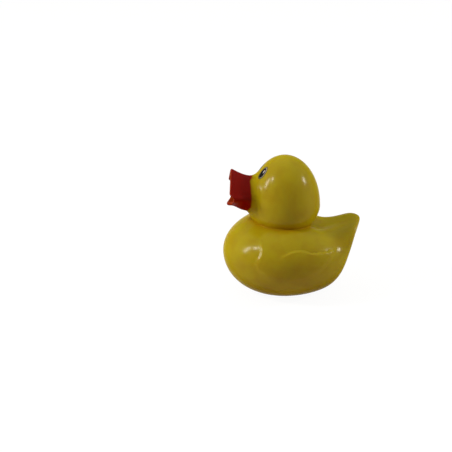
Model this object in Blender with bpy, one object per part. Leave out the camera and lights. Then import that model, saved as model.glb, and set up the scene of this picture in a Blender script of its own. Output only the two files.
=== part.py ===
"""Hollow bath duck, moulded in one piece of soft vinyl, with an open painted bill.

The duck faces -Y, its left side is +X, and it rests on Z = 0. Its skin is a set of rings
around one upright axis, which runs through the middle of the head and of the flat base.
An azimuth of 0 points to the bill and 180 degrees to the tail.
"""
import math

import bpy
import bmesh

# Head: two half ellipsoids that share the widest ring
HEAD_WIDTH = 0.0494
HEAD_DEPTH = 0.0452
HEAD_CENTRE_HEIGHT = 0.0565
HEAD_RISE = 0.0324
HEAD_FALL = 0.0222
NAPE = 0.0022
NAPE_HEIGHT = 0.0125

# Face: a soft swell round the bill's root, by how far it reaches from its middle; it fades
# in over the blend length in front of the ring axis
FACE_SWELL = 0.0016
FACE_HEIGHT = 0.0660
FACE_HALF_WIDTH = 0.0150
FACE_RISE = 0.0096
FACE_FALL = 0.0180
FACE_BLEND = 0.0064

# Body: its widest line, how far the shoulders rise above it, and the flat that it rests on
BODY_WIDTH = 0.0770
CHEST_REACH = 0.0394
RUMP_REACH = 0.0465
WIDEST_AT_CHEST = 0.0255
WIDEST_AT_SIDE = 0.0268
WIDEST_AT_RUMP = 0.0250
SHOULDER_AT_CHEST = 0.0256
SHOULDER_AT_SIDE = 0.0256
SHOULDER_AT_RUMP = 0.0198
BASE_RADIUS = 0.0118
NECK_FILLET = 0.0013

# Tail: a raised, scooped fan with soft lobes on its rim; falls are per degree off the middle
TAIL_REACH = 0.0490
TAIL_HEIGHT = 0.0456
TAIL_EDGE_ROUND = 0.0064
TAIL_TIP_BLUNTNESS = 10.0
TAIL_SPREAD = 28.9
TAIL_SHARPNESS = 4
TAIL_REACH_FALL = 0.00023
TAIL_HEIGHT_FALL = 0.00016
TAIL_BACK_REACH = 0.0287
TAIL_BACK_HEIGHT = 0.0378
TAIL_SCOOP = 0.0036
TAIL_SCOOP_SPREAD = 23.0
TAIL_DROP = 0.0220
TAIL_LEAN = 0.17
TAIL_TUCK = 0.0155
TAIL_NOTCH = 0.0009
TAIL_LOBE = 25.0
TAIL_RIM_END = 40.0

# Wings: low relief on each flank; the Y places are measured from the ring axis
WING_PROUD = 0.0010
WING_TOP = 0.0350
WING_CREST = 0.0034
WING_CREST_PLACE = 0.0036
WING_CREST_SPREAD = 0.0086
WING_CREST_SHARPNESS = 2.6
WING_FRONT_RISE = 0.0014
WING_FRONT = -0.0206
WING_TIP = 0.0310
WING_BOTTOM = 0.0142
WING_BEND_HEIGHT = 0.0285
WING_SCALLOP = 0.0004
WING_SCALLOP_PITCH = 0.0036
WING_SCALLOP_START = 0.0120
WING_TOP_EDGE = 0.0016
WING_LOW_EDGE = 0.0080
WING_CORNER_EDGE = 0.0024
WING_CORNER_HEIGHT = 0.0080
WING_CORNER_LEAN = 0.0022

# Bill: a flared diamond tube, its heights measured from the head's widest ring
BILL_WIDTH = 0.0352
BILL_CORNER_HEIGHT = 0.0103
BILL_UPPER = 0.0138
BILL_LOWER = 0.0096
BILL_TOP_LENGTH = 0.0127
BILL_SIDE_LENGTH = 0.0121
BILL_CORNER_LENGTH = 0.0108
BILL_LOW_LENGTH = 0.0146
BILL_LOW_DIP = 0.0009
BILL_TOP_FLARE = 0.0030
BILL_SIDE_FLARE = 0.0017
BILL_FLARE_LENGTH = 0.0062
BILL_ROOT_WIDTH = 0.0262
BILL_ROOT_HEIGHT = 0.0084
BILL_ROOT_UPPER = 0.0111
BILL_ROOT_LOWER = 0.0115
BILL_SIDE_FILLET = 0.0010
BILL_BROW_FILLET = 0.0016
BILL_CHIN_FILLET = 0.0011
LIP_RADIUS = 0.0011
MOUTH_DEPTH_GAP = 0.0015
THROAT_WIDTH = 0.0180
THROAT_OPENING = 0.0050
THROAT_HEIGHT = 0.0063

# Shell; the inner skin keeps these many walls away from the tail's thin rim
WALL = 0.0016
VENT_DIAMETER = 0.0030
TAIL_WALLS_BEHIND = 1.8
TAIL_WALLS_ABOVE = 1.3

# Fineness of the mesh; the rings have more points towards the tail
AZIMUTHS = 64
OUTER_ROWS = {"head": 13, "back": 16, "belly": 14}
INNER_ROWS = {"head": 8, "back": 7, "belly": 7}
TAIL_CROWDING = 0.35
BILL_AROUND = 40
BILL_SIDE_ROWS = 8
LIP_ROWS = 4
MOUTH_ROWS = 6
SEARCH_STEPS = 40
FILLET_STEP = 0.002

# How the head's and the bill's curves run into each other, without a unit
EGG_SOFTNESS = 0.35
ROOT_ROUNDNESS = 0.45
RIM_ROUNDNESS = 0.16
RIM_CORNER_BOW = 3.0
MOUTH_WIDTH_EASE = 0.4
MOUTH_DEPTH_EASE = 0.5

# The ring axis stands where the middle of the duck's whole length falls on Y = 0
AXIS_Y = (CHEST_REACH - TAIL_REACH) / 2


def clear_scene():
    for item in list(bpy.data.objects):
        bpy.data.objects.remove(item, do_unlink=True)


def smooth_step(value):
    value = min(max(value, 0.0), 1.0)
    return value * value * (3 - 2 * value)


def mix(a, b, share):
    return a + (b - a) * share


def bezier(a, b, c, d, t):
    return (1 - t) ** 3 * a + 3 * (1 - t) ** 2 * t * b + 3 * (1 - t) * t ** 2 * c + t ** 3 * d


def quadrant_radius(front, back, side, azimuth):
    """Radius of an egg-shaped plan: half ellipses in front and behind, sharing one width."""
    length = front if math.cos(azimuth) > 0 else back
    return 1 / math.hypot(math.cos(azimuth) / length, math.sin(azimuth) / side)


def quadrant_mix(front, side, back, azimuth):
    """A height that runs smoothly from the chest over the flank to the rump."""
    end = front if math.cos(azimuth) > 0 else back
    return mix(end, side, math.sin(azimuth) ** 2)


def head_point(azimuth, angle, inset):
    """Radius and height on the head; angle is 90 degrees at the crown and -90 below."""
    depth = HEAD_DEPTH / 2 - inset
    radius = quadrant_radius(depth, depth, HEAD_WIDTH / 2 - inset, azimuth)
    sine = math.sin(angle)
    upper_share = smooth_step((sine + EGG_SOFTNESS) / (2 * EGG_SOFTNESS))
    rise = mix(HEAD_FALL - inset, HEAD_RISE - inset, upper_share) * sine
    nape = NAPE * max(0.0, -math.cos(azimuth)) ** 2 * smooth_step(-rise / NAPE_HEIGHT)
    return radius * math.cos(angle) - nape, HEAD_CENTRE_HEIGHT + rise


def face_swell(x, z):
    """How far the face swells forward at a place seen from the front."""
    up = z - FACE_HEIGHT
    tall = FACE_RISE if up > 0 else FACE_FALL
    away = (x / FACE_HALF_WIDTH) ** 2 + (up / tall) ** 2
    return FACE_SWELL * math.exp(-away ** 2)


def tail_offset(azimuth):
    """Degrees off the middle of the tail."""
    return 180 - abs(math.degrees(math.remainder(azimuth, 2 * math.pi)))


def tail_share(azimuth):
    return math.exp(-(tail_offset(azimuth) / TAIL_SPREAD) ** TAIL_SHARPNESS)


def tail_rim(azimuth, inset):
    """Radius and height of the tail's outermost line, which the lobes notch."""
    offset = min(tail_offset(azimuth), TAIL_RIM_END)
    fall = math.hypot(offset, TAIL_TIP_BLUNTNESS) - TAIL_TIP_BLUNTNESS
    reach = TAIL_REACH - TAIL_REACH_FALL * fall - TAIL_WALLS_BEHIND * inset
    height = TAIL_HEIGHT - TAIL_HEIGHT_FALL * fall - TAIL_WALLS_ABOVE * inset
    if inset == 0:
        wave = 0.5 - 0.5 * math.cos(2 * math.pi * offset / TAIL_LOBE)
        reach -= TAIL_NOTCH * wave * (1 - smooth_step(offset / TAIL_RIM_END))
    return reach, height


def back_point(azimuth, step, inset):
    """The body above its widest line: step is 0 under the head and 1 at the widest line."""
    angle = step * math.pi / 2
    radius = quadrant_radius(CHEST_REACH - inset, RUMP_REACH - inset, BODY_WIDTH / 2 - inset, azimuth)
    widest = quadrant_mix(WIDEST_AT_CHEST, WIDEST_AT_SIDE, WIDEST_AT_RUMP, azimuth)
    rise = quadrant_mix(SHOULDER_AT_CHEST, SHOULDER_AT_SIDE, SHOULDER_AT_RUMP, azimuth) - inset
    share = tail_share(azimuth)
    reach, height = tail_rim(azimuth, inset)
    scoop = TAIL_SCOOP * math.exp(-(tail_offset(azimuth) / TAIL_SCOOP_SPREAD) ** 2)
    tail_r = bezier(0, TAIL_BACK_REACH, reach, reach, step)
    tail_z = bezier(WIDEST_AT_RUMP + SHOULDER_AT_RUMP - inset, TAIL_BACK_HEIGHT - scoop - inset,
                    height + TAIL_EDGE_ROUND, height, step)
    return (mix(radius * math.sin(angle), tail_r, share),
            mix(widest + rise * math.cos(angle), tail_z, share))


def belly_point(azimuth, step, inset):
    """The body below its widest line: step is 1 at the rim of the flat base."""
    angle = step * math.pi / 2
    radius = quadrant_radius(CHEST_REACH - inset, RUMP_REACH - inset, BODY_WIDTH / 2 - inset, azimuth)
    widest = quadrant_mix(WIDEST_AT_CHEST, WIDEST_AT_SIDE, WIDEST_AT_RUMP, azimuth)
    share = tail_share(azimuth)
    reach, height = tail_rim(azimuth, inset)
    tail_r = bezier(reach, reach - TAIL_LEAN * TAIL_DROP, BASE_RADIUS + TAIL_TUCK - inset, BASE_RADIUS, step)
    tail_z = bezier(height, height - TAIL_DROP, inset, inset, step)
    belly_r = mix(BASE_RADIUS, radius, math.cos(angle))
    return mix(belly_r, tail_r, share), mix(mix(widest, inset, math.sin(angle)), tail_z, share)


def wing_relief(y, z):
    """How far a wing stands proud of the flank at a place seen from the side."""
    crest_offset = abs(y - WING_CREST_PLACE) / WING_CREST_SPREAD
    crest = WING_CREST * math.exp(-crest_offset ** WING_CREST_SHARPNESS)
    scallops = WING_SCALLOP * math.cos(2 * math.pi * (y - WING_SCALLOP_START) / WING_SCALLOP_PITCH)
    scallops *= smooth_step((y - WING_SCALLOP_START) / WING_SCALLOP_PITCH)
    top = WING_TOP + crest + scallops + WING_FRONT_RISE * smooth_step(y / WING_FRONT)
    if y < 0:
        bow = math.sqrt(max(0.0, 1 - (y / WING_FRONT) ** 2))
        lowest = WING_BEND_HEIGHT - (WING_BEND_HEIGHT - WING_BOTTOM) * bow
        corner = smooth_step((z - WING_BEND_HEIGHT) / WING_CORNER_HEIGHT)
        edge = mix(WING_LOW_EDGE, WING_CORNER_EDGE, corner)
        front = smooth_step((y - WING_FRONT - WING_CORNER_LEAN * corner) / edge)
    else:
        lowest = mix(WING_BOTTOM, WING_TOP, min(1.0, y / WING_TIP) ** 2)
        front = 1.0
    over = smooth_step((top - z) / WING_TOP_EDGE)
    under = smooth_step((z - lowest) / WING_LOW_EDGE)
    return WING_PROUD * over * under * front


def bisect(test, low, high):
    for _ in range(SEARCH_STEPS):
        middle = (low + high) / 2
        if test(middle):
            low = middle
        else:
            high = middle
    return (low + high) / 2


def head_angle(azimuth, height, inset):
    return bisect(lambda angle: head_point(azimuth, angle, inset)[1] < height, -math.pi / 2, math.pi / 2)


def crease_steps(azimuth, inset):
    """Where the head sinks into the body: the head's angle and the back's step."""
    def under_head(step):
        radius, height = back_point(azimuth, step, inset)
        return radius < head_point(azimuth, head_angle(azimuth, height, inset), inset)[0]

    step = bisect(under_head, 0.0, 1.0)
    height = back_point(azimuth, step, inset)[1]
    return head_angle(azimuth, height, inset), step


def retreat(curve, start, distance):
    """Move on along a curve from start until a chord of the given length is reached."""
    first = curve(start)
    end = start
    while math.dist(first, curve(end)) < distance:
        end += FILLET_STEP
    return end


def profile(azimuth, rows, inset):
    """Radius and height from just below the crown to the rim of the base, with a filleted neck."""
    angle, step = crease_steps(azimuth, inset)
    corner = back_point(azimuth, step, inset)
    head_end = retreat(lambda a: head_point(azimuth, a, inset), angle, NECK_FILLET)
    back_start = retreat(lambda s: back_point(azimuth, s, inset), step, NECK_FILLET)
    above = head_point(azimuth, head_end, inset)
    below = back_point(azimuth, back_start, inset)
    points = []
    for row in range(1, rows["head"]):
        points.append(head_point(azimuth, mix(math.pi / 2, head_end, row / rows["head"]), inset))
    for t in (0.0, 1 / 3, 2 / 3):
        radius = mix(mix(above[0], corner[0], t), mix(corner[0], below[0], t), t)
        height = mix(mix(above[1], corner[1], t), mix(corner[1], below[1], t), t)
        points.append((radius, height))
    for row in range(rows["back"]):
        points.append(back_point(azimuth, mix(back_start, 1.0, row / rows["back"]), inset))
    for row in range(rows["belly"] + 1):
        points.append(belly_point(azimuth, row / rows["belly"], inset))
    return points


def outer_ring_point(azimuth, radius, height):
    radius += wing_relief(-radius * math.cos(azimuth), height)
    x = radius * math.sin(azimuth)
    y = -radius * math.cos(azimuth)
    if height > FACE_HEIGHT - FACE_FALL:
        y -= smooth_step(-y / FACE_BLEND) * face_swell(x, height)
    return x, y, height


def shell_mesh():
    """Outer skin, vent bore and inner skin as one closed set of rings."""
    columns = []
    for number in range(AZIMUTHS):
        turn = 2 * math.pi * number / AZIMUTHS
        azimuth = turn + TAIL_CROWDING * math.sin(turn)
        bore = VENT_DIAMETER / 2
        column = [outer_ring_point(azimuth, r, z) for r, z in profile(azimuth, OUTER_ROWS, 0.0)]
        inner = [(bore, 0.0), (bore, WALL)] + list(reversed(profile(azimuth, INNER_ROWS, WALL)))
        column += [(r * math.sin(azimuth), -r * math.cos(azimuth), z) for r, z in inner]
        columns.append(column)
    bm = bmesh.new()
    crown = bm.verts.new((0, 0, HEAD_CENTRE_HEIGHT + HEAD_RISE))
    inner_crown = bm.verts.new((0, 0, HEAD_CENTRE_HEIGHT + HEAD_RISE - WALL))
    grid = [[bm.verts.new(point) for point in column] for column in columns]
    for number, column in enumerate(grid):
        following = grid[(number + 1) % AZIMUTHS]
        bm.faces.new((crown, following[0], column[0]))
        for row in range(len(column) - 1):
            bm.faces.new((column[row], following[row], following[row + 1], column[row + 1]))
        bm.faces.new((inner_crown, column[-1], following[-1]))
    bmesh.ops.recalc_face_normals(bm, faces=bm.faces)
    mesh = bpy.data.meshes.new("duck")
    bm.to_mesh(mesh)
    bm.free()
    return mesh


def rounded_diamond(turn, roundness):
    """Unit diamond with rounded corners: |x| + |z| = 1 with each sharp bend softened."""
    across = math.cos(turn)
    along = math.sin(turn)
    reach = math.sqrt(1 + roundness ** 2) + roundness
    room = reach ** 2 - 4 * roundness ** 2
    root = math.sqrt(reach ** 2 - math.cos(2 * turn) ** 2 * room)
    scale = math.sqrt(reach * room / (reach + root))
    return scale * across, scale * along


def head_front(x, z):
    """How far the head's skin lies in front of the ring axis at a place seen from the front."""
    angle = head_angle(0.0, z, 0.0)
    share = math.cos(angle) ** 2 - (2 * x / HEAD_WIDTH) ** 2
    return HEAD_DEPTH / 2 * math.sqrt(max(share, 0.0)) + face_swell(x, z)


def root_point(turn, scale, spread):
    """A place on the bill's root outline, seen from the front; spread 1 adds its fillet."""
    x, z = rounded_diamond(turn, ROOT_ROUNDNESS)
    rise = BILL_ROOT_UPPER if z > 0 else BILL_ROOT_LOWER
    end_fillet = BILL_BROW_FILLET if z > 0 else BILL_CHIN_FILLET
    grow = spread * mix(BILL_SIDE_FILLET, end_fillet, z ** 2)
    middle = HEAD_CENTRE_HEIGHT + BILL_ROOT_HEIGHT
    return (BILL_ROOT_WIDTH / 2 + grow) * scale * x, middle + (rise + grow) * scale * z


def rim_point(turn, shrink):
    """A place on the bill's rim, drawn in by shrink: X, forward reach and Z."""
    x, z = rounded_diamond(turn, RIM_ROUNDNESS)
    if z > 0:
        rise = BILL_UPPER
        side = mix(BILL_SIDE_LENGTH, BILL_TOP_LENGTH, z)
        length = mix(BILL_CORNER_LENGTH, side, smooth_step(RIM_CORNER_BOW * z))
    else:
        rise = BILL_LOWER
        dip = BILL_LOW_DIP * 4 * z ** 2 * (1 - z ** 2)
        length = mix(BILL_CORNER_LENGTH, BILL_LOW_LENGTH, z ** 2) - dip
    middle = HEAD_CENTRE_HEIGHT + BILL_CORNER_HEIGHT
    return (BILL_WIDTH / 2 - shrink) * x, HEAD_DEPTH / 2 + length, middle + (rise - shrink) * z


def bill_side(turn, t):
    """The bill's outside: t is 0 at its root on the head and 1 where the lip begins."""
    root_x, root_z = root_point(turn, 1.0, 0.0)
    root_f = head_front(root_x, root_z)
    rim_x, rim_f, rim_z = rim_point(turn, 0.0)
    upward = math.sin(turn)
    flare = mix(BILL_SIDE_FLARE, BILL_TOP_FLARE if upward > 0 else 0.0, abs(upward))
    bend_x, bend_f, bend_z = rim_point(turn, flare)
    rim_f -= LIP_RADIUS
    x = bezier(root_x, root_x, bend_x, rim_x, t)
    forward = bezier(root_f, root_f + BILL_FLARE_LENGTH, bend_f - BILL_FLARE_LENGTH, rim_f, t)
    z = bezier(root_z, root_z, bend_z, rim_z, t)
    return x, forward, z


def mouth_side(turn, t):
    """The mouth's inside: t is 0 at the lip and 1 at the throat."""
    lip_x, lip_f, lip_z = rim_point(turn, 2 * LIP_RADIUS)
    lip_f -= LIP_RADIUS
    x, z = rounded_diamond(turn, ROOT_ROUNDNESS)
    throat_z = HEAD_CENTRE_HEIGHT + THROAT_HEIGHT + THROAT_OPENING / 2 * z
    throat_f = HEAD_DEPTH / 2 + MOUTH_DEPTH_GAP
    share = 1 - math.cos(t * math.pi / 2)
    depth = math.sin(t * math.pi / 2)
    return (mix(lip_x, THROAT_WIDTH / 2 * x, mix(share, t, MOUTH_WIDTH_EASE)),
            mix(lip_f, throat_f, mix(depth, t, MOUTH_DEPTH_EASE)),
            mix(lip_z, throat_z, t))


def bill_mesh():
    """The bill with its open mouth, its root sunk halfway into the head's wall."""
    turns = [2 * math.pi * number / BILL_AROUND for number in range(BILL_AROUND)]
    rings = []
    for scale, spread in ((1 / 3, 0.0), (2 / 3, 0.0), (1.0, 1.0)):
        ring = []
        for turn in turns:
            x, z = root_point(turn, scale, spread)
            ring.append((x, head_front(x, z) - WALL / 2, z))
        rings.append(ring)
    for step in range(2, BILL_SIDE_ROWS + 1):
        rings.append([bill_side(turn, step / BILL_SIDE_ROWS) for turn in turns])
    for step in range(1, LIP_ROWS + 1):
        bend = math.pi * step / LIP_ROWS
        ring = []
        for turn in turns:
            x, forward, z = rim_point(turn, LIP_RADIUS * (1 - math.cos(bend)))
            ring.append((x, forward - LIP_RADIUS * (1 - math.sin(bend)), z))
        rings.append(ring)
    for step in range(1, MOUTH_ROWS + 1):
        rings.append([mouth_side(turn, step / MOUTH_ROWS) for turn in turns])
    bm = bmesh.new()
    grid = [[bm.verts.new((x, -forward, z)) for x, forward, z in ring] for ring in rings]
    for ring, following in zip(grid, grid[1:]):
        for number in range(BILL_AROUND):
            after = (number + 1) % BILL_AROUND
            bm.faces.new((ring[number], ring[after], following[after], following[number]))
    bm.faces.new(grid[0])
    bm.faces.new(grid[-1])
    bmesh.ops.recalc_face_normals(bm, faces=bm.faces)
    mesh = bpy.data.meshes.new("bill_form")
    bm.to_mesh(mesh)
    bm.free()
    return mesh


def principled(name, color, roughness):
    material = bpy.data.materials.new(name)
    material.use_nodes = True
    shader = material.node_tree.nodes["Principled BSDF"]
    shader.inputs["Base Color"].default_value = (*color, 1.0)
    shader.inputs["Roughness"].default_value = roughness
    shader.inputs["Metallic"].default_value = 0.0
    return material


def add_object(name, mesh, material):
    item = bpy.data.objects.new(name, mesh)
    item.location.y = AXIS_Y
    mesh.materials.append(material)
    mesh.shade_smooth()
    bpy.context.scene.collection.objects.link(item)
    return item


def build_duck():
    """The moulded shell, with the bill joined on as part of the same skin."""
    yellow = principled("yellow_vinyl", (0.45, 0.34, 0.02), 0.3)
    red = principled("red_bill_paint", (0.22, 0.01, 0.005), 0.3)
    bill_form = add_object("bill_form", bill_mesh(), red)
    bill_form.hide_render = True
    bill_form.display_type = "WIRE"
    duck = add_object("duck", shell_mesh(), yellow)
    join = duck.modifiers.new("bill", "BOOLEAN")
    join.operation = "UNION"
    join.solver = "EXACT"
    join.object = bill_form
    return duck


clear_scene()
build_duck()
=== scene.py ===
import math

import bmesh
import bpy
import numpy as np
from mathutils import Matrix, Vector


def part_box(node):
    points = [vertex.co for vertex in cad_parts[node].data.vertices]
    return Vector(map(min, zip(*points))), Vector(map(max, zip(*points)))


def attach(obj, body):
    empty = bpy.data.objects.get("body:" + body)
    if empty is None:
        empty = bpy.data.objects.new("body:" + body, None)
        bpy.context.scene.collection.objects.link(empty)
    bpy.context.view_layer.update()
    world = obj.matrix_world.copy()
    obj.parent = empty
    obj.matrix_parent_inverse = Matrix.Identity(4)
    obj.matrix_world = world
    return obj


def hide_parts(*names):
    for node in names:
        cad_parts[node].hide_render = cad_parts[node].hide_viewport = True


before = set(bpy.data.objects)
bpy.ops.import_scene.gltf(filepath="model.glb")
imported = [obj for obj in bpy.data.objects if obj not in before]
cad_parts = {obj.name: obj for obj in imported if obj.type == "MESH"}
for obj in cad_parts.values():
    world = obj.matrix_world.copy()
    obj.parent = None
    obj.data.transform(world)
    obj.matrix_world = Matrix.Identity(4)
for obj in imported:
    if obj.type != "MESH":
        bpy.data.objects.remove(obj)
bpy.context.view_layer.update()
duckLow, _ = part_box("duck")
print("rubber duck: solid model loaded")

# Sizes are in metres. The duck faces -Y, and its skin is rings round one upright axis.
# Azimuth 0 points to the bill and 180 degrees to the tail.


def smoothStep(value):
    value = np.clip(value, 0.0, 1.0)
    return value * value * (3 - 2 * value)


def mix(a, b, share):
    return a + (b - a) * share


def bezier(a, b, c, d, t):
    return (1 - t) ** 3 * a + 3 * (1 - t) ** 2 * t * b + 3 * (1 - t) * t ** 2 * c + t ** 3 * d


head = {
    "width": 0.0494,
    "depth": 0.0452,
    "centreHeight": 0.0565,
    "rise": 0.0324,
    "fall": 0.0222,
    "softness": 0.35,  # how gently the upper and lower halves run into each other
    "nape": 0.0022,  # how far the back of the head draws in above the neck
    "napeHeight": 0.0125,
    "face": 0.0016,  # swell of the face round the bill
    "faceHeight": 0.0660,
    "faceWidth": 0.0085,
    "faceRise": 0.0096,
    "faceFall": 0.0180,
    "faceBlend": 0.0064,
}

body = {
    "width": 0.0770,
    "chestReach": 0.0394,
    "rumpReach": 0.0465,
    "widest": (0.0255, 0.0268, 0.0250),  # heights at chest, side and rump
    "shoulder": (0.0256, 0.0256, 0.0198),
    "baseRadius": 0.0118,
    "neckFillet": 0.0007,
    "creaseShadeWidth": 0.0026,  # reach of the painted shade round the neck crease
}

tail = {
    "reach": 0.0490,
    "height": 0.0456,
    "edgeRound": 0.0064,
    "tipBluntness": 10.0,
    "spread": 28.9,  # degrees either side
    "spreadPower": 4,
    "reachFall": 0.00023,  # per degree off the middle
    "heightFall": 0.00016,
    "backReach": 0.0287,
    "backHeight": 0.0388,
    "scoop": 0.0066,  # hollow on top of the tail
    "scoopSpread": 27.0,
    "drop": 0.0220,
    "lean": 0.17,
    "tuck": 0.0155,
    "notch": 0.0009,  # depth of the waves in the edge
    "lobe": 25.0,
    "rimEnd": 40.0,
    "wallsBehind": 1.8,  # the tail's hollow stops this many walls short of its edge
    "wallsAbove": 1.3,
}

wing = {
    "proud": 0.00097,
    "top": 0.0350,
    "crest": 0.0034,
    "crestPlace": 0.0036,
    "crestSpread": 0.0086,
    "crestPower": 2.6,
    "frontRise": 0.0060,  # climb of the top edge ahead of the place below
    "riseStart": -0.0095,
    "riseGrowth": 0.0090,
    "front": -0.0236,
    "frontLean": 0.0038,
    "tip": 0.0310,
    "bottom": 0.0142,
    "bendHeight": 0.0285,
    "scallop": 0.0008,
    "scallopPitch": 0.0036,
    "scallopStart": 0.0120,
    "topEdge": 0.0012,  # widths over which the relief fades
    "frontTopEdge": 0.0100,
    "edgeStart": -0.0090,
    "edgeGrowth": 0.0050,
    "lowEdge": 0.0070,
    "frontEdge": 0.0038,
    "cornerEdge": 0.0024,
    "cornerHeight": 0.0080,
}

bill = {
    "width": 0.0352,
    "cornerHeight": 0.0103,  # heights count from the head's widest ring
    "upper": 0.0144,
    "lower": 0.0096,
    "topLength": 0.0123,
    "sideLength": 0.0134,
    "cornerLength": 0.0108,
    "lowLength": 0.0146,
    "lowDip": 0.0009,
    "topFlare": 0.0030,
    "sideFlare": 0.0017,
    "flareLength": 0.0062,
    "rootWidth": 0.0262,
    "rootHeight": 0.0084,
    "rootUpper": 0.0111,
    "rootLower": 0.0115,
    "rootFillet": 0.0050,
    "browFillet": 0.0046,
    "chinFillet": 0.0048,
    "filletStart": 0.14,  # how far along the bill's side the fillet ends
    "browStart": 0.24,
    "lip": 0.0011,
    "throatDepth": 0.0015,
    "throatWidth": 0.0180,
    "throatOpening": 0.0050,
    "throatHeight": 0.0063,
    "rootRound": 0.45,
    "rimRound": 0.16,
    "skew": 0.08,  # the edge stands a little further forward on the left side
    "cornerBow": 4.5,  # how sharply the edge turns forward at the corner of the mouth
    "mouthWidthEase": 0.4,  # 0 for a round bowl and 1 for straight sides
    "mouthDepthEase": 0.5,
    "filletRings": 6,
    "sideRings": 24,
    "lipRings": 10,
    "mouthRings": 20,
}

shell = {
    "wall": 0.0016,
    "vent": 0.0030,
    "around": 340,
    "headRows": 66,
    "backRows": 90,
    "bellyRows": 62,
    "innerRows": 15,
    "filletRows": 7,
    "innerFilletRows": 2,
    "rowsAboveWing": 0.40,  # share of the back's rows
    "rowsOnEdge": 0.22,
    "edgeBand": 0.035,  # step either side of the wing's top edge
    "billAround": 160,
    "tailCrowding": 0.35,
    "holePoints": 120,
    "holeSpread": 1.1,  # the hole in the shell, in fillets out from the bill's root
    "angleTable": 20001,  # points in the table of the head's heights
    "halvings": 40,  # steps of each search for a place on the back
    "searchReach": 0.5,
    "searchPlaces": 1001,
}

# The ring axis stands behind the front of the chest, which is where the solid model has it
axisY = duckLow.y + body["chestReach"]


def planRadius(front, back, side, azimuth):
    length = np.where(np.cos(azimuth) > 0, front, back)
    return 1 / np.hypot(np.cos(azimuth) / length, np.sin(azimuth) / side)


def planMix(heights, azimuth):
    end = np.where(np.cos(azimuth) > 0, heights[0], heights[2])
    return mix(end, heights[1], np.sin(azimuth) ** 2)


def headHeight(angle, inset):
    sine = np.sin(angle)
    share = smoothStep((sine + head["softness"]) / (2 * head["softness"]))
    return head["centreHeight"] + mix(head["fall"] - inset, head["rise"] - inset, share) * sine


def headPoint(azimuth, angle, inset):
    depth = head["depth"] / 2 - inset
    radius = planRadius(depth, depth, head["width"] / 2 - inset, azimuth) * np.cos(angle)
    height = headHeight(angle, inset)
    behind = np.clip(-np.cos(azimuth), 0, 1) ** 2
    nape = head["nape"] * behind * smoothStep((head["centreHeight"] - height) / head["napeHeight"])
    return radius - nape, height


def faceSwell(x, z):
    up = z - head["faceHeight"]
    tall = np.where(up > 0, head["faceRise"], head["faceFall"])
    return head["face"] * np.exp(-(x / head["faceWidth"]) ** 2 - (up / tall) ** 4)


def headAngle(height, inset):
    table = np.linspace(-math.pi / 2, math.pi / 2, shell["angleTable"])
    return np.interp(height, headHeight(table, inset), table)


def tailOffset(azimuth):
    return np.degrees(math.pi - np.abs((azimuth + math.pi) % (2 * math.pi) - math.pi))


def tailRim(azimuth, inset):
    offset = np.minimum(tailOffset(azimuth), tail["rimEnd"])
    fall = np.hypot(offset, tail["tipBluntness"]) - tail["tipBluntness"]
    reach = tail["reach"] - tail["reachFall"] * fall - tail["wallsBehind"] * inset
    height = tail["height"] - tail["heightFall"] * fall - tail["wallsAbove"] * inset
    if inset == 0:
        wave = 0.5 - 0.5 * np.cos(2 * math.pi * offset / tail["lobe"])
        reach = reach - tail["notch"] * wave * (1 - smoothStep(offset / tail["rimEnd"]))
    return reach, height


def backPoint(azimuth, step, inset):
    angle = step * math.pi / 2
    radius = planRadius(body["chestReach"] - inset, body["rumpReach"] - inset,
                        body["width"] / 2 - inset, azimuth)
    widest = planMix(body["widest"], azimuth)
    rise = planMix(body["shoulder"], azimuth) - inset
    share = np.exp(-(tailOffset(azimuth) / tail["spread"]) ** tail["spreadPower"])
    reach, height = tailRim(azimuth, inset)
    scoop = tail["scoop"] * np.exp(-(tailOffset(azimuth) / tail["scoopSpread"]) ** 2)
    start = body["widest"][2] + body["shoulder"][2] - inset
    tailRadius = bezier(0, tail["backReach"], reach, reach, step)
    tailHeight = bezier(start, tail["backHeight"] - scoop - inset,
                        height + tail["edgeRound"], height, step)
    return (mix(radius * np.sin(angle), tailRadius, share),
            mix(widest + rise * np.cos(angle), tailHeight, share))


def bellyPoint(azimuth, step, inset):
    angle = step * math.pi / 2
    radius = planRadius(body["chestReach"] - inset, body["rumpReach"] - inset,
                        body["width"] / 2 - inset, azimuth)
    widest = planMix(body["widest"], azimuth)
    share = np.exp(-(tailOffset(azimuth) / tail["spread"]) ** tail["spreadPower"])
    reach, height = tailRim(azimuth, inset)
    base = body["baseRadius"]
    tailRadius = bezier(reach, reach - tail["lean"] * tail["drop"],
                        base + tail["tuck"] - inset, base, step)
    tailHeight = bezier(height, height - tail["drop"], inset, inset, step)
    return (mix(mix(base, radius, np.cos(angle)), tailRadius, share),
            mix(mix(widest, inset, np.sin(angle)), tailHeight, share))


def wingTop(y):
    offset = np.abs(y - wing["crestPlace"]) / wing["crestSpread"]
    beat = (y - wing["scallopStart"]) / wing["scallopPitch"]
    scallops = wing["scallop"] * np.abs(np.sin(math.pi * beat)) * smoothStep(beat)
    ahead = wing["frontRise"] * smoothStep((wing["riseStart"] - y) / wing["riseGrowth"])
    return wing["top"] + wing["crest"] * np.exp(-offset ** wing["crestPower"]) + scallops + ahead


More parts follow.
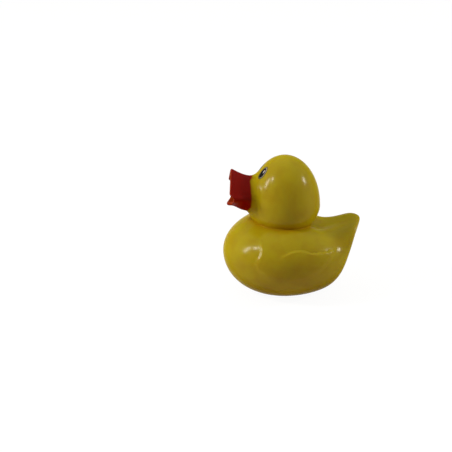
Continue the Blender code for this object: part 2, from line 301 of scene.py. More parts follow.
def wingRelief(y, z):
    bow = np.sqrt(np.clip(1 - (y / wing["front"]) ** 2, 0, 1))
    lowFront = wing["bendHeight"] - (wing["bendHeight"] - wing["bottom"]) * bow
    lowBack = mix(wing["bottom"], wing["top"], np.clip(y / wing["tip"], 0, 1) ** 2)
    lowest = np.where(y < 0, lowFront, lowBack)
    corner = smoothStep((z - wing["bendHeight"]) / wing["cornerHeight"])
    frontEdge = mix(wing["frontEdge"], wing["cornerEdge"], corner)
    pastFront = y - wing["front"] - wing["frontLean"] * corner
    front = np.where(y < 0, smoothStep(pastFront / frontEdge), 1.0)
    sharper = smoothStep((y - wing["edgeStart"]) / wing["edgeGrowth"])
    topEdge = mix(wing["frontTopEdge"], wing["topEdge"], sharper)
    over = smoothStep((wingTop(y) - wing["topEdge"] / 2 - z) / topEdge + 0.5)
    under = smoothStep((z - lowest) / wing["lowEdge"])
    return wing["proud"] * over * under * front


# Last step of the back, for every azimuth, at which the test still holds
def lastStep(azimuth, inset, test):
    low = np.zeros_like(azimuth)
    high = np.ones_like(azimuth)
    for _ in range(shell["halvings"]):
        middle = (low + high) / 2
        holds = test(*backPoint(azimuth, middle, inset))
        low = np.where(holds, middle, low)
        high = np.where(holds, high, middle)
    return (low + high) / 2


# Rows down the back, close together along the top edge of the wing
def backSteps(azimuth, start, rows):
    edge = lastStep(azimuth, 0.0, lambda r, z: z > wingTop(-r * np.cos(azimuth)))
    band = shell["edgeBand"]
    edge = np.clip(edge, start + 2 * band, 1 - 2 * band)
    above, on = shell["rowsAboveWing"], shell["rowsOnEdge"]
    place = np.arange(rows) / rows
    first = np.clip(place / above, 0, 1)
    second = np.clip((place - above) / on, 0, 1)
    third = np.clip((place - above - on) / (1 - above - on), 0, 1)
    return start + (edge - band - start) * first + 2 * band * second + (1 - edge - band) * third


# First place along a curve that lies the given chord away from its start
def moveOn(curve, start, distance):
    places = start + np.linspace(0, shell["searchReach"], shell["searchPlaces"])
    radius, height = curve(places)
    far = np.hypot(radius - radius[:, :1], height - height[:, :1]) >= distance
    return np.take_along_axis(places, far.argmax(axis=1)[:, None], axis=1)


def profile(azimuth, headRows, backRows, bellyRows, filletRows, inset):
    step = lastStep(azimuth, inset,
                    lambda r, z: r < headPoint(azimuth, headAngle(z, inset), inset)[0])
    corner = backPoint(azimuth, step, inset)
    angle = headAngle(corner[1], inset)
    headEnd = moveOn(lambda a: headPoint(azimuth, a, inset), angle, body["neckFillet"])
    backStart = moveOn(lambda s: backPoint(azimuth, s, inset), step, body["neckFillet"])
    above = headPoint(azimuth, headEnd, inset)
    below = backPoint(azimuth, backStart, inset)
    headAngles = mix(math.pi / 2, headEnd, np.arange(1, headRows) / headRows)
    parts = [headPoint(azimuth, headAngles, inset)]
    t = np.arange(filletRows) / filletRows
    parts.append([mix(mix(above[i], corner[i], t), mix(corner[i], below[i], t), t) for i in (0, 1)])
    parts.append(backPoint(azimuth, backSteps(azimuth, backStart, backRows), inset))
    parts.append(bellyPoint(azimuth, np.arange(bellyRows + 1)[None] / bellyRows, inset))
    radius = np.hstack([part[0] for part in parts])
    height = np.hstack([part[1] + 0 * part[0] for part in parts])
    # The last value is each point's share of the painted shade round the neck crease, largest at
    # the crease corner
    away = np.hypot(radius - corner[0], height - corner[1]) / body["creaseShadeWidth"]
    return radius, height, np.exp(-away ** 2)


def ringPoints(azimuth, radius, height):
    return np.stack([radius * np.sin(azimuth), -radius * np.cos(azimuth), height], axis=-1)


# The moulded shell as rings: outer skin, vent bore, and the inner skin back up to the crown
def shellRings():
    turn = 2 * math.pi * np.arange(shell["around"])[:, None] / shell["around"]
    azimuth = turn + shell["tailCrowding"] * np.sin(turn)
    radius, height, crease = profile(
        azimuth, shell["headRows"], shell["backRows"], shell["bellyRows"], shell["filletRows"], 0.0)
    radius = radius + wingRelief(-radius * np.cos(azimuth), height)
    rows = shell["innerRows"]
    innerRadius, innerHeight, _ = profile(
        azimuth, rows, rows // 2, rows // 2, shell["innerFilletRows"], shell["wall"])
    bore = np.full_like(azimuth, shell["vent"] / 2)
    radius = np.hstack([radius, bore, bore, innerRadius[:, ::-1]])
    height = np.hstack([height, 0 * bore, 0 * bore + shell["wall"], innerHeight[:, ::-1]])
    points = ringPoints(azimuth, radius, height)
    face = points[:, :shell["headRows"]]
    front = smoothStep(-face[..., 1] / head["faceBlend"])
    face[..., 1] -= front * faceSwell(face[..., 0], face[..., 2])
    return points, crease


def roundedDiamond(turn, roundness):
    reach = math.sqrt(1 + roundness ** 2) + roundness
    room = reach ** 2 - 4 * roundness ** 2
    root = np.sqrt(reach ** 2 - np.cos(2 * turn) ** 2 * room)
    scale = np.sqrt(reach * room / (reach + root))
    return scale * np.cos(turn), scale * np.sin(turn)


def headFront(x, z):
    share = np.cos(headAngle(z, 0.0)) ** 2 - (2 * x / head["width"]) ** 2
    return head["depth"] / 2 * np.sqrt(np.clip(share, 0, 1)) + faceSwell(x, z)


def rootPoint(turn, spread):
    x, z = roundedDiamond(turn, bill["rootRound"])
    grow = mix(bill["rootFillet"], np.where(z > 0, bill["browFillet"], bill["chinFillet"]), z ** 2)
    rise = np.where(z > 0, bill["rootUpper"], bill["rootLower"]) + grow * spread
    middle = head["centreHeight"] + bill["rootHeight"]
    return (bill["rootWidth"] / 2 + grow * spread) * x, middle + rise * z


def rimPoint(turn, shrink):
    x, z = roundedDiamond(turn, bill["rimRound"])
    rise = np.where(z > 0, bill["upper"], bill["lower"]) - shrink
    sideLength = mix(bill["sideLength"], bill["topLength"], z)
    upperLength = mix(bill["cornerLength"], sideLength, smoothStep(bill["cornerBow"] * z))
    lowerLength = mix(bill["cornerLength"], bill["lowLength"], z ** 2)
    lowerLength = lowerLength - bill["lowDip"] * 4 * z ** 2 * (1 - z ** 2)
    forward = head["depth"] / 2 + np.where(z > 0, upperLength, lowerLength)
    middle = head["centreHeight"] + bill["cornerHeight"]
    across = (bill["width"] / 2 - shrink) * x
    return across, forward + bill["skew"] * across, middle + rise * z


def billSide(turn, t):
    rootX, rootZ = rootPoint(turn, 0.0)
    rootF = headFront(rootX, rootZ)
    rimX, rimF, rimZ = rimPoint(turn, 0.0)
    upward = np.sin(turn)
    upperFlare = mix(bill["sideFlare"], bill["topFlare"], upward)
    flare = np.where(upward > 0, upperFlare, bill["sideFlare"] * (1 + upward))
    bendX, bendF, bendZ = rimPoint(turn, flare)
    reach = bill["flareLength"]
    return (bezier(rootX, rootX, bendX, rimX, t),
            bezier(rootF, rootF + reach, bendF - reach, rimF - bill["lip"], t),
            bezier(rootZ, rootZ, bendZ, rimZ, t))


def mouthSide(turn, t):
    lipX, lipF, lipZ = rimPoint(turn, 2 * bill["lip"])
    x, z = roundedDiamond(turn, bill["rootRound"])
    throatZ = head["centreHeight"] + bill["throatHeight"] + bill["throatOpening"] / 2 * z
    throatF = head["depth"] / 2 + bill["throatDepth"]
    share = 1 - math.cos(t * math.pi / 2)
    depth = math.sin(t * math.pi / 2)
    return (mix(lipX, bill["throatWidth"] / 2 * x, mix(share, t, bill["mouthWidthEase"])),
            mix(lipF - bill["lip"], throatF, mix(depth, t, bill["mouthDepthEase"])),
            mix(lipZ, throatZ, t))


# The bill as rings from the edge of its fillet on the head to the throat, each with how
# far into the mouth it lies: 0 outside and 1 inside
def billRings():
    turn = 2 * math.pi * np.arange(shell["billAround"]) / shell["billAround"]
    rings = []
    start = mix(bill["filletStart"], bill["browStart"], np.clip(np.sin(turn), 0, 1) ** 2)
    edgeX, edgeZ = rootPoint(turn, 1.0)
    rootX, rootZ = rootPoint(turn, 0.0)
    edge = np.stack([edgeX, headFront(edgeX, edgeZ), edgeZ], axis=-1)
    root = np.stack([rootX, headFront(rootX, rootZ), rootZ], axis=-1)
    side = np.stack(billSide(turn, start), axis=-1)
    for t in np.arange(bill["filletRings"]) / bill["filletRings"]:
        rings.append((mix(mix(edge, root, t), mix(root, side, t), t), 0.0))
    for t in np.linspace(0, 1, bill["sideRings"]):
        rings.append((np.stack(billSide(turn, mix(start, 1.0, t)), axis=-1), 0.0))
    for t in np.linspace(0, 1, bill["lipRings"] + 1)[1:]:
        bend = math.pi * t
        x, forward, z = rimPoint(turn, bill["lip"] * (1 - math.cos(bend)))
        rings.append((np.stack([x, forward - bill["lip"] * (1 - math.sin(bend)), z], axis=-1), t))
    for t in np.linspace(0, 1, bill["mouthRings"] + 1)[1:]:
        rings.append((np.stack(mouthSide(turn, t), axis=-1), 1.0))
    for points, _ in rings:
        points[:, 1] *= -1
    return rings


def insideOutline(x, z, outline):
    inside = np.zeros(x.shape, bool)
    for (x0, z0), (x1, z1) in zip(outline, np.roll(outline, -1, axis=0)):
        crosses = (z0 > z) != (z1 > z)
        if crosses.any():
            inside ^= crosses & (x < x0 + (z - z0) * (x1 - x0) / (z1 - z0))
    return inside


def buildSkin():
    rings, crease = shellRings()
    around, rows = rings.shape[:2]
    billGrid = billRings()
    turn = 2 * math.pi * np.arange(shell["holePoints"]) / shell["holePoints"]
    gapX, gapZ = rootPoint(turn, shell["holeSpread"])
    hole = insideOutline(rings[..., 0], rings[..., 2], np.stack([gapX, gapZ], axis=-1))
    hole &= (rings[..., 1] < 0) & (np.arange(rows)[None] < shell["headRows"])
    bm = bmesh.new()
    depth = bm.verts.layers.float.new("mouthDepth")
    # This layer holds each point's share of the painted shade round the neck crease
    neckShade = bm.verts.layers.float.new("neckCreaseShade")
    grid = [[None if hole[i, j] else bm.verts.new(rings[i, j]) for j in range(rows)]
            for i in range(around)]
    for i in range(around):
        for vert, share in zip(grid[i], crease[i]):
            if vert:
                vert[neckShade] = share
    crown = bm.verts.new((0, 0, head["centreHeight"] + head["rise"]))
    innerCrown = bm.verts.new((0, 0, head["centreHeight"] + head["rise"] - shell["wall"]))
    for i in range(around):
        here, after = grid[i], grid[(i + 1) % around]
        bm.faces.new((crown, after[0], here[0]))
        bm.faces.new((innerCrown, here[-1], after[-1]))
        for j in range(rows - 1):
            corners = (here[j], after[j], after[j + 1], here[j + 1])
            if None not in corners:
                bm.faces.new(corners)
    rim = [edge for edge in bm.edges if edge.is_boundary]
    billRows = []
    for points, inMouth in billGrid:
        row = [bm.verts.new(point) for point in points]
        for vert in row:
            vert[depth] = inMouth
        billRows.append(row)
    for row, following in zip(billRows, billRows[1:]):
        for i in range(len(row)):
            after = (i + 1) % len(row)
            bm.faces.new((row[i], row[after], following[after], following[i]))
    first, last = billRows[0], billRows[-1]
    throat = bm.verts.new(np.mean([vert.co for vert in last], axis=0))
    throat[depth] = 1.0
    for i in range(len(last)):
        bm.faces.new((last[i], last[(i + 1) % len(last)], throat))
    skirt = [bm.edges.get((first[i], first[(i + 1) % len(first)])) for i in range(len(first))]
    bmesh.ops.triangle_fill(bm, use_beauty=True, edges=rim + skirt, normal=(0, -1, 0))
    stray = [vert for vert in bm.verts if not vert.link_faces]
    bmesh.ops.delete(bm, geom=stray, context="VERTS")
    bmesh.ops.recalc_face_normals(bm, faces=bm.faces)
    bmesh.ops.translate(bm, verts=bm.verts, vec=(0, axisY, 0))
    openEdges = sum(not edge.is_manifold for edge in bm.edges)
    mesh = bpy.data.meshes.new("duckSkin")
    bm.to_mesh(mesh)
    bm.free()
    mesh.shade_smooth()
    print("rubber duck: skin has", len(mesh.polygons), "faces and", openEdges, "open edges")
    skin = bpy.data.objects.new("duckSkin", mesh)
    bpy.context.scene.collection.objects.link(skin)
    return skin


skin = buildSkin()


# Looks. Small helpers first: they add a node to a tree and return its output
def addNode(tree, kind, **settings):
    node = tree.nodes.new(kind)
    for name, value in settings.items():
        setattr(node, name, value)
    return node


# A source is a plain value for the socket, or the output to link to it
def feed(tree, socket, source):
    if isinstance(source, bpy.types.NodeSocket):
        tree.links.new(source, socket)
    else:
        socket.default_value = source


def maths(tree, operation, *sources):
    node = addNode(tree, "ShaderNodeMath", operation=operation)
    for socket, source in zip(node.inputs, sources):
        feed(tree, socket, source)
    return node.outputs["Value"]


def vectorMaths(tree, operation, *sources):
    node = addNode(tree, "ShaderNodeVectorMath", operation=operation)
    for socket, source in zip(node.inputs, sources):
        feed(tree, socket, source)
    return node.outputs["Value" if operation == "DOT_PRODUCT" else "Vector"]


def fade(tree, value, start, end):
    node = addNode(tree, "ShaderNodeMapRange", interpolation_type="SMOOTHSTEP")
    for name, source in (("Value", value), ("From Min", start), ("From Max", end)):
        feed(tree, node.inputs[name], source)
    return node.outputs["Result"]


# The two mixers find their sockets by number, because each name stands for several of them
def blend(tree, share, first, second):
    node = addNode(tree, "ShaderNodeMix", data_type="RGBA")
    for index, source in ((0, share), (6, first), (7, second)):
        feed(tree, node.inputs[index], source)
    return node.outputs[2]


def mixValue(tree, share, first, second):
    node = addNode(tree, "ShaderNodeMix", data_type="FLOAT")
    for index, source in ((0, share), (2, first), (3, second)):
        feed(tree, node.inputs[index], source)
    return node.outputs[0]


def noise(tree, place, size, detail):
    node = addNode(tree, "ShaderNodeTexNoise")
    feed(tree, node.inputs["Vector"], place)
    node.inputs["Scale"].default_value = 1 / size
    node.inputs["Detail"].default_value = detail
    return node.outputs["Fac"]


def newGroup(name, inputs, outputs):
    tree = bpy.data.node_groups.new(name, "ShaderNodeTree")
    for label, kind in inputs:
        tree.interface.new_socket(label, in_out="INPUT", socket_type="NodeSocket" + kind)
    for label, kind in outputs:
        tree.interface.new_socket(label, in_out="OUTPUT", socket_type="NodeSocket" + kind)
    return tree, tree.nodes.new("NodeGroupInput").outputs, tree.nodes.new("NodeGroupOutput").inputs


def useGroup(tree, group, **sources):
    node = addNode(tree, "ShaderNodeGroup", node_tree=group)
    for name, source in sources.items():
        feed(tree, node.inputs[name.replace("_", " ")], source)
    return node.outputs


# A soft-edged oval painted on a curved surface: 1 inside it and 0 outside
def ovalGroup():
    group, given, result = newGroup("painted oval", [
        ("Place", "Vector"), ("Centre", "Vector"), ("Upward", "Vector"), ("Outward", "Vector"),
        ("Half Height", "Float"), ("Half Width", "Float"), ("Depth", "Float"),
        ("Softness", "Float"),
    ], [("Mask", "Float")])
    offset = vectorMaths(group, "SUBTRACT", given["Place"], given["Centre"])
    facing = vectorMaths(group, "CROSS_PRODUCT", given["Outward"], given["Upward"])
    squares = []
    axes = ((given["Upward"], "Half Height"), (given["Outward"], "Half Width"), (facing, "Depth"))
    for way, reach in axes:
        part = vectorMaths(group, "DOT_PRODUCT", offset, way)
        part = maths(group, "DIVIDE", part, given[reach])
        squares.append(maths(group, "MULTIPLY", part, part))
    total = maths(group, "ADD", maths(group, "ADD", squares[0], squares[1]), squares[2])
    away = maths(group, "SQRT", total)
    outer = maths(group, "ADD", 1.0, given["Softness"])
    inner = maths(group, "SUBTRACT", 1.0, given["Softness"])
    feed(group, result["Mask"], fade(group, away, outer, inner))
    return group


vinyl = {
    "colour": (0.440, 0.350, 0.0055, 1),
    "deepColour": (0.370, 0.240, 0.0028, 1),
    "blotchSize": 0.0110,
    "blotchShare": 0.5,
    "blotchFade": (0.35, 0.75),
    "grainSize": 0.0016,
    "roughness": 0.20,
    "roughnessSpread": 0.08,
    "ripple": 0.000025,  # height of the slow unevenness of the moulding
    "rippleSize": 0.0080,
    "pitting": 0.000006,
    "pittingSize": 0.0007,
    # Painted shade: the colour that darkens the skin round the neck crease
    "creaseShadeColour": (0.370, 0.200, 0.0020, 1),
    "creaseShadeShare": 0.8,
    "shine": 0.105,
    "edgeShine": 0.004,  # towards the outline, where the soft skin is duller
    "sheenFade": (0.25, 0.60),
    "softWeight": 0.35,  # light that goes in and comes out again
    "softRadius": (1.0, 0.55, 0.08),
    "softScale": 0.0025,
}


# Moulded vinyl: slow blotches of deeper yellow, a fine grain and a slightly uneven skin
def vinylGroup():
    group, given, result = newGroup("moulded vinyl", [
        ("Place", "Vector"), ("Colour", "Color"), ("Deep Colour", "Color"), ("Roughness", "Float"),
    ], [("Colour", "Color"), ("Roughness", "Float"), ("Height", "Float")])
    place = given["Place"]
    blotches = noise(group, place, vinyl["blotchSize"], detail=3.0)
    blotches = fade(group, blotches, *vinyl["blotchFade"])
    share = maths(group, "MULTIPLY", blotches, vinyl["blotchShare"])
    feed(group, result["Colour"], blend(group, share, given["Colour"], given["Deep Colour"]))
    grain = noise(group, place, vinyl["grainSize"], detail=4.0)
    grain = maths(group, "SUBTRACT", grain, 0.5)
    spread = maths(group, "MULTIPLY", grain, vinyl["roughnessSpread"])
    feed(group, result["Roughness"], maths(group, "ADD", given["Roughness"], spread))
    ripple = noise(group, place, vinyl["rippleSize"], detail=1.0)
    ripple = maths(group, "MULTIPLY", ripple, vinyl["ripple"])
    pits = noise(group, place, vinyl["pittingSize"], detail=2.0)
    pits = maths(group, "MULTIPLY", pits, vinyl["pitting"])
    feed(group, result["Height"], maths(group, "ADD", ripple, pits))
    return group


# Red paint from a line round the bill's root to the throat. The line leans back on top of
# the bill and forward below the chin; distances count forward from the ring axis.
paint = {
    "line": 0.0227,
    "topHeight": (0.0742, 0.0768),
    "topBack": 0.0018,
    "chinHeight": 0.0580,
    "chinSlope": 0.45,
    "lowest": (0.0500, 0.0508),
    "softness": 0.0009,
    "mist": 0.22,  # thin overspray ahead of the line
    "mistReach": 0.0024,
    "waver": 0.0006,
    "waverSize": 0.0045,
    "colour": (0.240, 0.0040, 0.0006, 1),
    "thinColour": (0.300, 0.040, 0.0060, 1),  # where the coat is worn thin on the lips
    "mouthColour": (0.270, 0.028, 0.0030, 1),
    "roughness": 0.30,
    "shine": 0.5,  # share of the bare vinyl's shine
    "dulledFrom": (0.0160, 0.0185),  # the overspray leaves the face duller in front of this
    "dulledAbove": (0.0540, 0.0600),
    "dulling": 0.85,
    "thickness": 0.00004,
    "streakSize": 0.0035,
    "streakFade": (0.2, 0.75),
    # The next four count in how far round the lip a place lies, from 0 outside to 1 in the mouth
    "lipCover": (0.0, 0.3),
    "lipFront": (0.0, 0.35),
    "lipBack": (1.0, 0.7),
    "mouthFade": (0.6, 1.0),
}


def paintGroup():
    group, given, result = newGroup("bill paint", [
        ("Place", "Vector"), ("Mouth Depth", "Float"), ("Colour", "Color"),
        ("Thin Colour", "Color"), ("Mouth Colour", "Color"),
    ], [("Colour", "Color"), ("Cover", "Float"), ("Height", "Float"), ("Dulled", "Float")])
    axes = addNode(group, "ShaderNodeSeparateXYZ")
    feed(group, axes.inputs["Vector"], given["Place"])
    forward = maths(group, "SUBTRACT", axisY, axes.outputs["Y"])
    height = axes.outputs["Z"]
    back = maths(group, "MULTIPLY", fade(group, height, *paint["topHeight"]), paint["topBack"])
    below = maths(group, "MAXIMUM", maths(group, "SUBTRACT", paint["chinHeight"], height), 0.0)
    chin = maths(group, "MULTIPLY", below, paint["chinSlope"])
    sway = noise(group, given["Place"], paint["waverSize"], detail=2.0)
    sway = maths(group, "SUBTRACT", sway, 0.5)
    line = maths(group, "ADD", maths(group, "SUBTRACT", paint["line"], back), chin)
    line = maths(group, "ADD", line, maths(group, "MULTIPLY", sway, paint["waver"]))
    past = maths(group, "SUBTRACT", forward, line)
    mist = maths(group, "MULTIPLY", fade(group, past, -paint["mistReach"], 0.0), paint["mist"])
    cover = maths(group, "MAXIMUM", fade(group, past, -paint["softness"], paint["softness"]), mist)
    cover = maths(group, "MULTIPLY", cover, fade(group, height, *paint["lowest"]))
    dulled = maths(group, "MULTIPLY", fade(group, forward, *paint["dulledFrom"]),
                   fade(group, height, *paint["dulledAbove"]))
    feed(group, result["Dulled"], dulled)
    inMouth = given["Mouth Depth"]
    cover = maths(group, "MAXIMUM", cover, fade(group, inMouth, *paint["lipCover"]))
    feed(group, result["Cover"], cover)
    feed(group, result["Height"], maths(group, "MULTIPLY", cover, paint["thickness"]))
    streaks = noise(group, given["Place"], paint["streakSize"], detail=3.0)
    onLip = maths(group, "MULTIPLY", fade(group, inMouth, *paint["lipFront"]),
                  fade(group, inMouth, *paint["lipBack"]))
    thin = maths(group, "MULTIPLY", onLip, fade(group, streaks, *paint["streakFade"]))
    inside = fade(group, inMouth, *paint["mouthFade"])
    coat = blend(group, inside, given["Colour"], given["Mouth Colour"])
    feed(group, result["Colour"], blend(group, thin, coat, given["Thin Colour"]))
    return group


# One eye; the other is its mirror image. Places of the pupil and the glint are shares of
# the oval's half height and half width.
eye = {
    "centre": (0.0062, axisY - 0.0170, 0.0816),
    "upward": (-0.184, 0.561, 0.807),
    "outward": (0.937, 0.348, -0.029),
    "halfHeight": 0.0053,
    "halfWidth": 0.0034,
    "depth": 0.0060,
    "outline": 0.00062,
    "softness": 0.07,
    "white": (0.44, 0.39, 0.30, 1),
    "black": (0.0012, 0.0010, 0.0011, 1),
    "outlineColour": (0.007, 0.005, 0.003, 1),
    "pupilPlace": (-0.04, -0.08),
    "pupilSize": (0.80, 0.74),
    "glintPlace": (0.18, 0.10),
    "glintSize": (0.0015, 0.00065),
    "glintColour": (0.50, 0.45, 0.47, 1),
    "roughness": 0.22,
}


def eyeOval(tree, oval, place, halfHeight, halfWidth, along=0.0, across=0.0):
    centre = Vector(eye["centre"])
    centre += Vector(eye["upward"]) * along * eye["halfHeight"]
    centre += Vector(eye["outward"]) * across * eye["halfWidth"]
    return useGroup(tree, oval, Place=place, Centre=centre, Upward=eye["upward"],
                    Outward=eye["outward"], Half_Height=halfHeight, Half_Width=halfWidth,
                    Depth=eye["depth"], Softness=eye["softness"])["Mask"]


def paintEyes(tree, oval, place, shadedSkinColour):
    axes = addNode(tree, "ShaderNodeSeparateXYZ")
    feed(tree, axes.inputs["Vector"], place)
    mirrored = addNode(tree, "ShaderNodeCombineXYZ")
    feed(tree, mirrored.inputs["X"], maths(tree, "ABSOLUTE", axes.outputs["X"]))
    feed(tree, mirrored.inputs["Y"], axes.outputs["Y"])
    feed(tree, mirrored.inputs["Z"], axes.outputs["Z"])
    at = mirrored.outputs["Vector"]
    tall, wide, line = eye["halfHeight"], eye["halfWidth"], eye["outline"]
    whole = eyeOval(tree, oval, at, tall, wide)
    white = eyeOval(tree, oval, at, tall - line, wide - line)
    pupilTall, pupilWide = tall * eye["pupilSize"][0], wide * eye["pupilSize"][1]
    pupil = eyeOval(tree, oval, at, pupilTall, pupilWide, *eye["pupilPlace"])
    glint = eyeOval(tree, oval, at, *eye["glintSize"], *eye["glintPlace"])
    colour = blend(tree, whole, shadedSkinColour, eye["outlineColour"])
    colour = blend(tree, white, colour, eye["white"])
    colour = blend(tree, maths(tree, "MULTIPLY", pupil, white), colour, eye["black"])
    return blend(tree, glint, colour, eye["glintColour"]), whole


# The whole skin as one material, because it is one moulding with paint on it
def duckMaterial():
    material = bpy.data.materials.new("yellowVinyl")
    material.use_nodes = True
    tree = material.node_tree
    shader = tree.nodes["Principled BSDF"]
    place = addNode(tree, "ShaderNodeTexCoord").outputs["Object"]
    depth = addNode(tree, "ShaderNodeAttribute", attribute_name="mouthDepth").outputs["Fac"]
    bare = useGroup(tree, vinylGroup(), Place=place, Colour=vinyl["colour"],
                    Deep_Colour=vinyl["deepColour"], Roughness=vinyl["roughness"])
    coat = useGroup(tree, paintGroup(), Place=place, Mouth_Depth=depth, Colour=paint["colour"],
                    Thin_Colour=paint["thinColour"], Mouth_Colour=paint["mouthColour"])
    # Painted shade: the skin's colour darkens towards the neck crease
    neckShade = addNode(tree, "ShaderNodeAttribute", attribute_name="neckCreaseShade").outputs["Fac"]
    neckShade = maths(tree, "MULTIPLY", neckShade, vinyl["creaseShadeShare"])
    shadedSkinColour = blend(tree, neckShade, bare["Colour"], vinyl["creaseShadeColour"])
    colour, eyeCover = paintEyes(tree, ovalGroup(), place, shadedSkinColour)
    feed(tree, shader.inputs["Base Color"], blend(tree, coat["Cover"], colour, coat["Colour"]))
    rough = mixValue(tree, coat["Cover"], bare["Roughness"], paint["roughness"])
    feed(tree, shader.inputs["Roughness"], mixValue(tree, eyeCover, rough, eye["roughness"]))
    bump = addNode(tree, "ShaderNodeBump")
    feed(tree, bump.inputs["Height"], maths(tree, "ADD", bare["Height"], coat["Height"]))
    bump.inputs["Distance"].default_value = 1.0  # the heights are in metres
    feed(tree, shader.inputs["Normal"], bump.outputs["Normal"])
    facing = addNode(tree, "ShaderNodeLayerWeight").outputs["Facing"]
    edgeward = fade(tree, facing, *vinyl["sheenFade"])
    shine = mixValue(tree, edgeward, vinyl["shine"], vinyl["edgeShine"])
    dulled = maths(tree, "SUBTRACT", 1.0, maths(tree, "MULTIPLY", coat["Dulled"], paint["dulling"]))
    dull = mixValue(tree, coat["Cover"], dulled, paint["shine"])
    # The painted shade in the neck crease also takes away the shine there
    dull = maths(tree, "MULTIPLY", maths(tree, "SUBTRACT", 1.0, neckShade), dull)
    feed(tree, shader.inputs["Specular IOR Level"], maths(tree, "MULTIPLY", shine, dull))
    shader.inputs["Subsurface Weight"].default_value = vinyl["softWeight"]
    shader.inputs["Subsurface Radius"].default_value = vinyl["softRadius"]
    shader.inputs["Subsurface Scale"].default_value = vinyl["softScale"]
    return material


skin.data.materials.append(duckMaterial())
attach(skin, "root")
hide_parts("duck")


# Floor and light. The world is a white tent with a dim opening on the camera's side, and
# three lamps give the highlights.
studio = {
    "floorHalf": 4.0,
    "floorColour": (0.62, 0.50, 0.36, 1),
    "floorGlow": 0.94,
    "floorShade": (0.10, 0.10, 0.10, 1),
    "tentColour": (1.0, 0.985, 0.94, 1),
    "tentStrength": 0.82,
    "backdrop": (1.0, 1.0, 1.0, 1),
    "openingWay": (0.934, -0.059, 0.352),
    "openingCosines": (0.45, 0.92),
    "openingColour": (0.090, 0.056, 0.028, 1),
    "dimSide": 0.55,  # how much weaker the tent is beyond the tail
    "dimSideSines": (-0.2, 0.9),
    "dimFront": 1.0,  # and beyond the bill
    "dimFrontSines": (-0.3, -0.95),
    "lampDistance": 1.20,
    "headLamp": {"way": (-0.020, -0.900, 0.430), "size": (0.055, 0.36), "power": 6.2},
    "bodyLamp": {"way": (0.150, -0.755, 0.640), "size": (0.120, 0.062), "power": 3.6},
    "rightLamp": {"way": (0.060, 0.880, 0.470), "size": (0.110, 0.18), "power": 5.0},
    "lampColour": (1.0, 0.96, 0.88),
}


# 1 for the rays that show what stands behind the duck, and 0 for those that light it
def watchedRay(tree):
    rays = addNode(tree, "ShaderNodeLightPath").outputs
    watched = maths(tree, "MAXIMUM", rays["Is Camera Ray"], rays["Is Glossy Ray"])
    return maths(tree, "MAXIMUM", watched, rays["Is Transmission Ray"])


def addFloor():
    half = studio["floorHalf"]
    mesh = bpy.data.meshes.new("floor")
    corners = [(-half, -half, 0), (half, -half, 0), (half, half, 0), (-half, half, 0)]
    mesh.from_pydata(corners, [], [(0, 1, 2, 3)])
    floor = bpy.data.objects.new("floor", mesh)
    bpy.context.scene.collection.objects.link(floor)
    material = bpy.data.materials.new("paleFloor")
    material.use_nodes = True
    tree = material.node_tree
    tree.nodes.remove(tree.nodes["Principled BSDF"])
    plain = addNode(tree, "ShaderNodeBsdfDiffuse")
    plain.inputs["Color"].default_value = studio["floorColour"]
    shaded = addNode(tree, "ShaderNodeBsdfDiffuse")
    shaded.inputs["Color"].default_value = studio["floorShade"]
    glow = addNode(tree, "ShaderNodeEmission")
    glow.inputs["Strength"].default_value = studio["floorGlow"]
    seen = addNode(tree, "ShaderNodeAddShader")
    feed(tree, seen.inputs[0], shaded.outputs[0])
    feed(tree, seen.inputs[1], glow.outputs[0])
    either = addNode(tree, "ShaderNodeMixShader")
    for socket, source in zip(either.inputs, (watchedRay(tree), plain.outputs[0], seen.outputs[0])):
        feed(tree, socket, source)
    # From below the floor is clear, so that the base can be looked at
    below = addNode(tree, "ShaderNodeNewGeometry").outputs["Backfacing"]
    clear = addNode(tree, "ShaderNodeBsdfTransparent")
    whole = addNode(tree, "ShaderNodeMixShader")
    for socket, source in zip(whole.inputs, (below, either.outputs[0], clear.outputs[0])):
        feed(tree, socket, source)
    feed(tree, tree.nodes["Material Output"].inputs["Surface"], whole.outputs[0])
    mesh.materials.append(material)
    return floor


def lightTent():
    world = bpy.data.worlds.new("lightTent")
    world.use_nodes = True
    tree = world.node_tree
    way = addNode(tree, "ShaderNodeTexCoord").outputs["Generated"]
    axes = addNode(tree, "ShaderNodeSeparateXYZ")
    feed(tree, axes.inputs["Vector"], way)
    towards = vectorMaths(tree, "DOT_PRODUCT", way, studio["openingWay"])
    opening = fade(tree, towards, *studio["openingCosines"])
    colour = blend(tree, opening, studio["tentColour"], studio["openingColour"])
    sideDim = fade(tree, axes.outputs["Y"], *studio["dimSideSines"])
    frontDim = fade(tree, axes.outputs["Y"], *studio["dimFrontSines"])
    dim = maths(tree, "ADD", maths(tree, "MULTIPLY", sideDim, studio["dimSide"]),
                maths(tree, "MULTIPLY", frontDim, studio["dimFront"]))
    strength = maths(tree, "MULTIPLY", maths(tree, "SUBTRACT", 1.0, dim), studio["tentStrength"])
    background = tree.nodes["Background"]
    watched = watchedRay(tree)
    feed(tree, background.inputs["Color"], blend(tree, watched, colour, studio["backdrop"]))
    feed(tree, background.inputs["Strength"], mixValue(tree, watched, strength, 1.0))
    bpy.context.scene.world = world


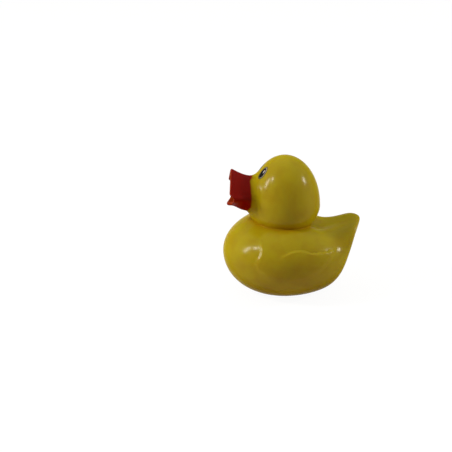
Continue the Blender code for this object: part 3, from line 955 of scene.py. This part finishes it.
def addLamp(name, lamp):
    data = bpy.data.lights.new(name, "AREA")
    data.shape = "RECTANGLE"
    data.size, data.size_y = lamp["size"]
    data.energy = lamp["power"]
    data.color = studio["lampColour"]
    item = bpy.data.objects.new(name, data)
    way = Vector(lamp["way"]).normalized()
    item.location = Vector((0, axisY, head["centreHeight"])) + way * studio["lampDistance"]
    item.rotation_euler = way.to_track_quat("Z", "Y").to_euler()
    bpy.context.scene.collection.objects.link(item)


# The camera looks at a point on the ring axis, which lies at the given pixel of the picture
view = {
    "azimuth": 84.5,
    "elevation": 20.63,
    "distancePixels": 1270.0,
    "imagePixels": 452,
    "metresPerPixel": 0.0889 / 138.19,  # height of the duck in metres and in pixels
    "aimHeightPixels": 70.0,
    "aimPixel": (284.317, 220.947),
    "sensorWidth": 36,
    "clipStart": 0.01,
}


def addCamera():
    azimuth, elevation = math.radians(view["azimuth"]), math.radians(view["elevation"])
    right = Vector((math.cos(azimuth), math.sin(azimuth), 0))
    level = math.cos(elevation)
    back = Vector((math.sin(azimuth) * level, -math.cos(azimuth) * level, math.sin(elevation)))
    up = back.cross(right)
    scale = view["metresPerPixel"]
    half = view["imagePixels"] / 2
    aim = Vector((0, axisY, view["aimHeightPixels"] * scale))
    place = aim + back * view["distancePixels"] * scale
    place -= right * (view["aimPixel"][0] - half) * scale
    place += up * (view["aimPixel"][1] - half) * scale
    data = bpy.data.cameras.new("camera")
    data.sensor_width = view["sensorWidth"]
    data.lens = view["sensorWidth"] * view["distancePixels"] / view["imagePixels"]
    data.clip_start = view["clipStart"]
    camera = bpy.data.objects.new("camera", data)
    camera.location = place
    camera.rotation_euler = back.to_track_quat("Z", "Y").to_euler()
    bpy.context.scene.collection.objects.link(camera)
    bpy.context.scene.camera = camera


addCamera()
print("rubber duck: camera placed")

addFloor()
lightTent()
for lampName in ("headLamp", "bodyLamp", "rightLamp"):
    addLamp(lampName, studio[lampName])
print("rubber duck: floor, tent and lamps set up")

bpy.context.scene.view_settings.view_transform = "Standard"
